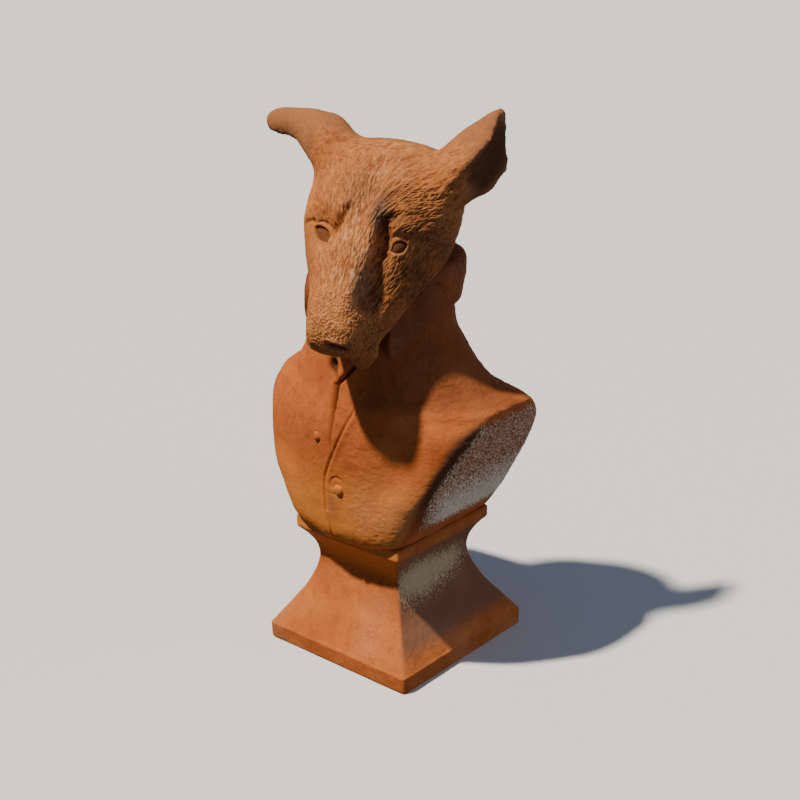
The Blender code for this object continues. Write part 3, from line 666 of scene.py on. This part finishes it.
def fused(name, forms, voxel):
    """One closed skin round several overlapping forms, made of even quads of the voxel's size."""
    both = bmesh.new()
    for form in forms:
        both.from_mesh(form.data)
        bpy.data.objects.remove(form)
    mesh = bpy.data.meshes.new(name)
    both.to_mesh(mesh)
    both.free()
    piece = bpy.data.objects.new(name, mesh)
    bpy.context.scene.collection.objects.link(piece)
    skin = piece.modifiers.new("skin", "REMESH")
    skin.mode = "VOXEL"
    skin.voxel_size = voxel
    shape = piece.evaluated_get(bpy.context.evaluated_depsgraph_get())
    piece.data = bpy.data.meshes.new_from_object(shape)
    piece.modifiers.clear()
    piece.data.name = name
    return piece


def points_of(mesh, what="vertices", value="co"):
    """The points of a mesh as an array, or with other words its normals."""
    items = getattr(mesh, what)
    flat = np.empty(len(items) * 3, np.float32)
    items.foreach_get(value, flat)
    return flat.reshape(-1, 3).astype(float)


def place_points(mesh, points):
    """Puts the points of a mesh where the array says."""
    mesh.vertices.foreach_set("co", points.astype(np.float32).reshape(-1))
    mesh.update()


def eased(mesh, share, rounds):
    """Points moved towards the mean of their neighbours, by a share at each point, some rounds."""
    edges = np.empty(len(mesh.edges) * 2, np.int32)
    mesh.edges.foreach_get("vertices", edges)
    first, second = edges.reshape(-1, 2).T
    points = points_of(mesh)
    count = len(points)
    number = np.bincount(first, minlength=count) + np.bincount(second, minlength=count)
    for _ in range(rounds):
        total = np.stack([np.bincount(first, points[second, k], count)
                          + np.bincount(second, points[first, k], count) for k in range(3)], -1)
        points += share[:, None] * (total / number[:, None] - points)
    place_points(mesh, points)


def split_faces(mesh, chosen):
    """Cuts every face whose points are all chosen into four."""
    form = bmesh.new()
    form.from_mesh(mesh)
    edges = [edge for edge in form.edges if chosen[edge.verts[0].index] and chosen[edge.verts[1].index]]
    bmesh.ops.subdivide_edges(form, edges=edges, cuts=1, use_grid_fill=True)
    form.to_mesh(mesh)
    form.free()
    mesh.shade_smooth()


head_points = head_grid(150, 200)
across = head_points[..., 1:] - np.array([0.0, -10.0])
across = across / np.maximum(np.linalg.norm(across, axis=-1, keepdims=True), 1e-9)
head_points[..., 1:] += across * face_form(head_points)[..., None]
left_ear_points = ear_grid(LEFT_EAR_ROWS, LEFT_EAR_ROOT, LEFT_EAR_LEAN, (-48.0, 74.0), 70, 120)
right_ear_points = ear_grid(RIGHT_EAR_ROWS, RIGHT_EAR_ROOT, RIGHT_EAR_LEAN, (-170.0, -95.0), 70, 120)
forms = [tube_mesh("skull", from_head(head_points)), tube_mesh("left_ear", from_head(left_ear_points)),
         tube_mesh("right_ear", from_head(right_ear_points))]
for middle, radii in FLEWS:
    forms.append(tube_mesh("flew", from_head(flew_grid(np.array(middle), radii))))
head = fused("head", forms, 0.0022)
shape = to_head(points_of(head.data))
root_left = bell(np.linalg.norm(shape - np.array([138.0, 48.0, 14.0]), axis=1), 26.0)
root_right = bell(np.linalg.norm(shape - np.array([139.0, -42.0, 14.0]), axis=1), 24.0)
eased(head.data, np.full(len(shape), 0.5), 5)
eased(head.data, np.clip(1.2 * (root_left + root_right), 0, 0.6), 40)
shape = to_head(points_of(head.data))
eased(head.data, 0.5 * ramp(np.abs(shape[:, 1] - 4), 52, 60), 8)
shape = to_head(points_of(head.data))
finer = (shape[:, 2] > -34) & (shape[:, 0] < 140) | (np.abs(shape[:, 1] - 4) > 54)
split_faces(head.data, finer)
shape = to_head(points_of(head.data))
facing = points_of(head.data, "vertex_normals", "vector") @ head_axes().T
seen = (shape[:, 2] > -20) & (shape[:, 0] < 122) & (facing @ np.array([-0.31, 0.35, 0.88]) > 0.15)
split_faces(head.data, seen & (np.abs(shape[:, 1]) < 50))


def eye_push(p, centre, side, length, width, lids):
    """Push of one eye in millimetres: in the plane of the eye, an almond sunk under the lids in
    which the ball swells, a heavy upper lid with a crease over it, and a thin lower lid."""
    corner = np.array([-0.60, -0.79 * side, 0.09])
    facing = np.array([-0.42, 0.30 * side, 0.86])
    over = np.cross(facing, corner) * side
    over = over / np.linalg.norm(over) * np.sign(over[0])
    a = (p - centre) @ corner
    b = (p - centre) @ over
    depth = (p - centre) @ (facing / np.linalg.norm(facing))
    near = ramp(depth, -12, -6)
    beyond = np.clip(np.abs(a) - length, 0, 9)
    lid = width * np.clip(1 - (a / length) ** 2, 0, 1) ** 0.7 - beyond
    edge = np.abs(b) - lid
    inside = 1 - ramp(edge, -0.7, 0.5)
    ball = -3.0 + 2.8 * np.sqrt(np.clip(1 - (a / (length - 0.8)) ** 2 - (b / (width + 0.4)) ** 2, 0, 1))
    ends = ramp(length + 1.5 - np.abs(a), 0, 3)
    upper = 1.2 * lids * bell(b - lid - 1.3, 1.3) * ends
    fold = -0.9 * bell(b - lid - 3.8, 1.2) * ends
    lower = 1.1 * lids * bell(b + lid + 1.0, 1.0) * ends
    return near * (ball * inside + (1 - inside) * (upper + fold + lower)), near * inside


def carve(p, feature):
    """Push of one carved line in millimetres: a depth, a width and the points of the line. A line
    of two numbers a point is carved from above."""
    depth, width, line = feature
    above = len(line[0]) == 2
    distance, share = line_distance(p[:, :2] if above else p, line)
    reach = ramp(p[:, 2], -14, -6) if above else 1.0
    return depth * bell(distance, width) * ramp(np.minimum(share, 1 - share), -0.12, 0.14) * reach


LIP_LINE = ((10, 19, -15), (20, 23, -20), (28, 25.5, -25), (33, 26.5, -33))
FACE_LINES = (
    # The deep recess beside the bridge, and the folds that leave it over the left brow
    (-7.5, 5.5, ((91, 17.5), (84, 19.5), (76, 20.5), (69, 20.5))),
    (-2.4, 4.5, ((94, 18), (93, 22), (95, 27))),
    (-1.4, 2.4, ((94, 22), (97, 29), (101, 36), (105, 43))),
    (3.0, 5.0, ((88, 26), (92, 32), (91, 39))),
    # The frown over the right eye, and the crease beside it
    (-3.8, 3.2, ((98, -9), (91, -11.5), (84, -14), (78, -17))),
    (-1.3, 1.8, ((87, -44), (86, -37), (85, -32))),
    # The groove along the bridge's left side, and the bridge's ridge
    (-3.4, 5.5, ((68, 21), (57, 20.5), (45, 19.5), (32, 18))),
    (1.4, 5.0, ((102, 10), (85, 12), (70, 12), (50, 11), (25, 8))),
    # The lips' lines
    (-3.2, 1.7, ((-2, -1, -8), (2, 11, -10), *LIP_LINE)),
    (-3.0, 1.7, ((-2, -1, -8), (2, -11, -10), *((back, -left, up) for back, left, up in LIP_LINE))),
    # The nostrils and the rim of one, and the pit under the nose
    (-4.8, 2.7, ((2.4, 2.4, 7.0), (2.6, 6.2, 6.0), (2.9, 9.5, 4.8), (3.0, 12.6, 3.0), (2.9, 14, 1.4))),
    (1.6, 1.9, ((5.6, 2.0, 10), (5.8, 7.0, 9.2), (6.0, 12.5, 6.4))),
    (-3.6, 1.9, ((3.4, -9.9, 3.6), (2.5, -8.2, 2.0), (1.8, -6.6, 1.3))),
    (-5.0, 3.4, ((4.5, -9, -20), (6.2, -9, -25), (6.6, -8, -30))),
    # The folds of the left cheek and of its hanging lip
    (-1.6, 1.6, ((46, 31, -5), (33, 28, -10), (22, 24, -13))),
    (-1.4, 1.6, ((42, 32, -14), (33, 29, -19))),
    (1.6, 3.0, ((9, 19, -24), (18, 24, -28))),
    (-1.6, 1.8, ((6, 20, -30), (16, 24, -35), (26, 22, -38))),
)

shape = to_head(points_of(head.data))
normals = points_of(head.data, "vertex_normals", "vector")
lines = sum(carve(shape, feature) for feature in FACE_LINES)
left_eye, left_ball = eye_push(shape, LEFT_EYE, 1, 6.2, 4.2, 0.2)
right_eye, right_ball = eye_push(shape, RIGHT_EYE, -1, 8.2, 4.0, 0.6)
ball = np.clip(left_ball + right_ball, 0, 1)
place_points(head.data, points_of(head.data) + normals * ((lines + left_eye + right_eye) * 0.001)[:, None])


def chisel(p, lean, length, width, seed):
    """Short strokes side by side, from -1 to 1: noise drawn out along a direction on the skin,
    which leans from the head's axis by an angle at each point. The noise is mixed from
    copies turned in steps of 20 degrees, each used where the lean is near its own."""
    place, left, up = np.moveaxis(p, -1, 0)
    girth = np.arctan2(left, up + 14) * np.hypot(left, up + 14)
    total = np.zeros(len(p))
    for step in range(-60, 101, 20):
        share = np.clip(1 - np.abs(lean - step) / 20, 0, 1)
        if not share.any():
            continue
        turn = math.radians(step)
        along = place * math.cos(turn) + girth * math.sin(turn)
        beside = girth * math.cos(turn) - place * math.sin(turn)
        drawn = np.stack([along / length, beside / width, up / 9], -1)
        total += share * rough(drawn, 1.0, seed + step // 20)
    return total


place, left, up = shape.T
lean = 50 * ramp(left, 2, 24) * ramp(place, 70, 96) - 18 * ramp(-left, 0, 25)
lean += 35 * ramp(left, 8, 30) * (1 - ramp(place, 60, 85)) * ramp(place, 20, 50)
strokes = chisel(shape, lean, 3.1 + 1.4 * ramp(left, 8, 22) * ramp(place, 84, 98), 0.62, 41)
dots = rough(np.stack([place / 0.95, left / 0.8, up / 0.8], -1), 1.0, 61)
muzzle = 1 - ramp(place, 26, 52)
strokes = np.tanh(2.4 * (strokes * (1 - muzzle) + (0.75 * dots + 0.45 * strokes) * muzzle))
ear_tip = np.maximum(ramp(np.abs(left - 4), 52, 62) * ramp(place, 118, 130), ramp(place, 152, 162))
cheek = ramp(-left, 20, 34) * ramp(place, 25, 50) * (1 - ramp(place, 76, 92))
under = 1 - ramp(up, -40, -22)
furred = (1 - 0.8 * ear_tip) * (1 - 0.85 * cheek) * (1 - ball) * (1 - 0.7 * under)
eyes = [np.linalg.norm(shape - eye, axis=1) for eye in (LEFT_EYE, RIGHT_EYE)]
furred *= ramp(np.minimum(eyes[0] + 3.0, eyes[1] + 1.0), 6.5, 11)
furred *= 1 - ramp(-lines, 1.2, 3.0) * ramp(32 - place, 0, 6)
brow_rows = 1 + 0.5 * ramp(left, 8, 22) * ramp(place, 84, 98) * (1 - ramp(place, 125, 140))
height = (0.42 - 0.16 * muzzle) * strokes * furred * brow_rows
normals = points_of(head.data, "vertex_normals", "vector")
points = points_of(head.data)
push = 0.001 * height + (0.35 + 0.75 * (1 - furred)) * grain(points)
place_points(head.data, points + normals * push[:, None])
keep_field(head, "strokes", 0.5 + 0.5 * strokes * furred)
grey = bell(np.hypot(left - 14, (place - 97) / 2.2), 7)
grey += 0.8 * bell(np.hypot(left - 13, (place - 48) / 2.5), 7)
grey += 0.5 * ear_tip + 0.35 * bell(place - 108, 20) * bell(left + 6, 12)
keep_field(head, "wear_and_painted_shade", np.clip(grey, 0, 1))
keep_field(head, "bare", 0 * height)
# Painted shade on the face's left side, which the light only grazes, in the hollow of the left ear, and on
# the eyeballs, which are partly their own darker colour.
face_painted_shade = 0.3 * ramp(left, 8, 22) * ramp(place, 84, 94) * (1 - ramp(place, 112, 128))
face_painted_shade += 0.35 * ramp(left, 22, 38) * ramp(place, 50, 70) * (1 - ramp(place, 96, 112))
face_painted_shade += 0.35 * ramp(left, 14, 24) * (1 - ramp(place, 60, 80)) + 0.85 * ball
face_painted_shade += 0.8 * ear_inside(shape, LEFT_EAR_ROWS, LEFT_EAR_ROOT, LEFT_EAR_LEAN)
# Painted shade in the carved lines, strongest in the nostrils, mouth and the pit under the nose, and in
# the grooves between the strokes.
in_lines = (0.14 + 0.25 * ramp(34 - place, 0, 8)) * np.clip(-lines - 0.8, 0, 2.7)
keep_field(head, "painted_shade_and_dark_rust", np.clip(in_lines + face_painted_shade + 0.55 * ramp(-strokes, 0.1, 0.9) * furred, 0, 1))
# Painted highlight: the tops of the strokes are lightened over the upper middle of the head, where the
# light falls.
highlight_mask = bell(left - 3, 22) * ramp(up, 5, 14)
keep_field(head, "pale_flecks_and_highlight", ramp(strokes, 0.1, 0.8) * furred * highlight_mask)
head.data.materials.append(rusted_iron("rusted iron, chiselled", ("#b66c3a", "#ca7f45", "#a05a34"),
                                       strokes=0.5))
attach(head, "root")
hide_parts("dog_bust")

# Floor, light and camera
# A pale floor, a warm key light from the upper left like the sun's in the photograph, a wide
# weak fill from behind on the right, and a camera at the photograph's place.

KEY_FROM = (-0.213, -0.401, 0.891)
FILL_FROM = (0.93, 0.30, 0.06)

bpy.ops.mesh.primitive_plane_add(size=12.0, location=(0, 0, 0))
floor = bpy.context.object
floor.name = "floor"
paper = bpy.data.materials.new("pale matt paper")
paper.use_nodes = True
paper.node_tree.nodes["Principled BSDF"].inputs["Base Color"].default_value = (0.82, 0.82, 0.81, 1.0)
paper.node_tree.nodes["Principled BSDF"].inputs["Roughness"].default_value = 0.9
floor.data.materials.append(paper)
floor.visible_diffuse = False

key = bpy.data.lights.new("key", "SUN")
key.energy = 5.3
key.angle = math.radians(3.0)
key.color = (1.0, 0.93, 0.8)
key_stand = bpy.data.objects.new("key", key)
bpy.context.scene.collection.objects.link(key_stand)
key_stand.rotation_euler = Vector(KEY_FROM).to_track_quat("Z", "Y").to_euler()
fill = bpy.data.lights.new("fill", "SUN")
fill.energy = 0.8
fill.angle = math.radians(80.0)
fill.color = (0.9, 1.05, 1.35)
fill_stand = bpy.data.objects.new("fill", fill)
bpy.context.scene.collection.objects.link(fill_stand)
fill_stand.rotation_euler = Vector(FILL_FROM).to_track_quat("Z", "Y").to_euler()
world = bpy.data.worlds.new("studio")
world.use_nodes = True
world.node_tree.nodes["Background"].inputs["Color"].default_value = (0.80, 1.0, 1.40, 1.0)
world.node_tree.nodes["Background"].inputs["Strength"].default_value = 0.10
bpy.context.scene.world = world


def camera_place(azimuth, elevation, roll, distance, aside, height):
    """Matrix of a camera on a circle round a point over the middle: its own right and up are
    turned by the roll, and it looks back along the direction that it stands in."""
    a, e, r = (math.radians(angle) for angle in (azimuth, elevation, roll))
    back = Vector((math.sin(a) * math.cos(e), -math.cos(a) * math.cos(e), math.sin(e)))
    right = Vector((math.cos(a), math.sin(a), 0.0))
    up = back.cross(right)
    where = right * aside + Vector((0, 0, height)) + back * distance
    turned = right * math.cos(r) + up * math.sin(r)
    risen = up * math.cos(r) - right * math.sin(r)
    return Matrix([(*turned, 0), (*risen, 0), (*back, 0), (*where, 1)]).transposed()


view = bpy.data.cameras.new("camera")
view.sensor_width = 36.0
view.lens = 66.33
view.clip_start = 0.05
camera = bpy.data.objects.new("camera", view)
bpy.context.scene.collection.objects.link(camera)
camera.matrix_world = camera_place(42.24, 20.8, -1.85, 1.10, 0.0086, 0.1935)
bpy.context.scene.camera = camera
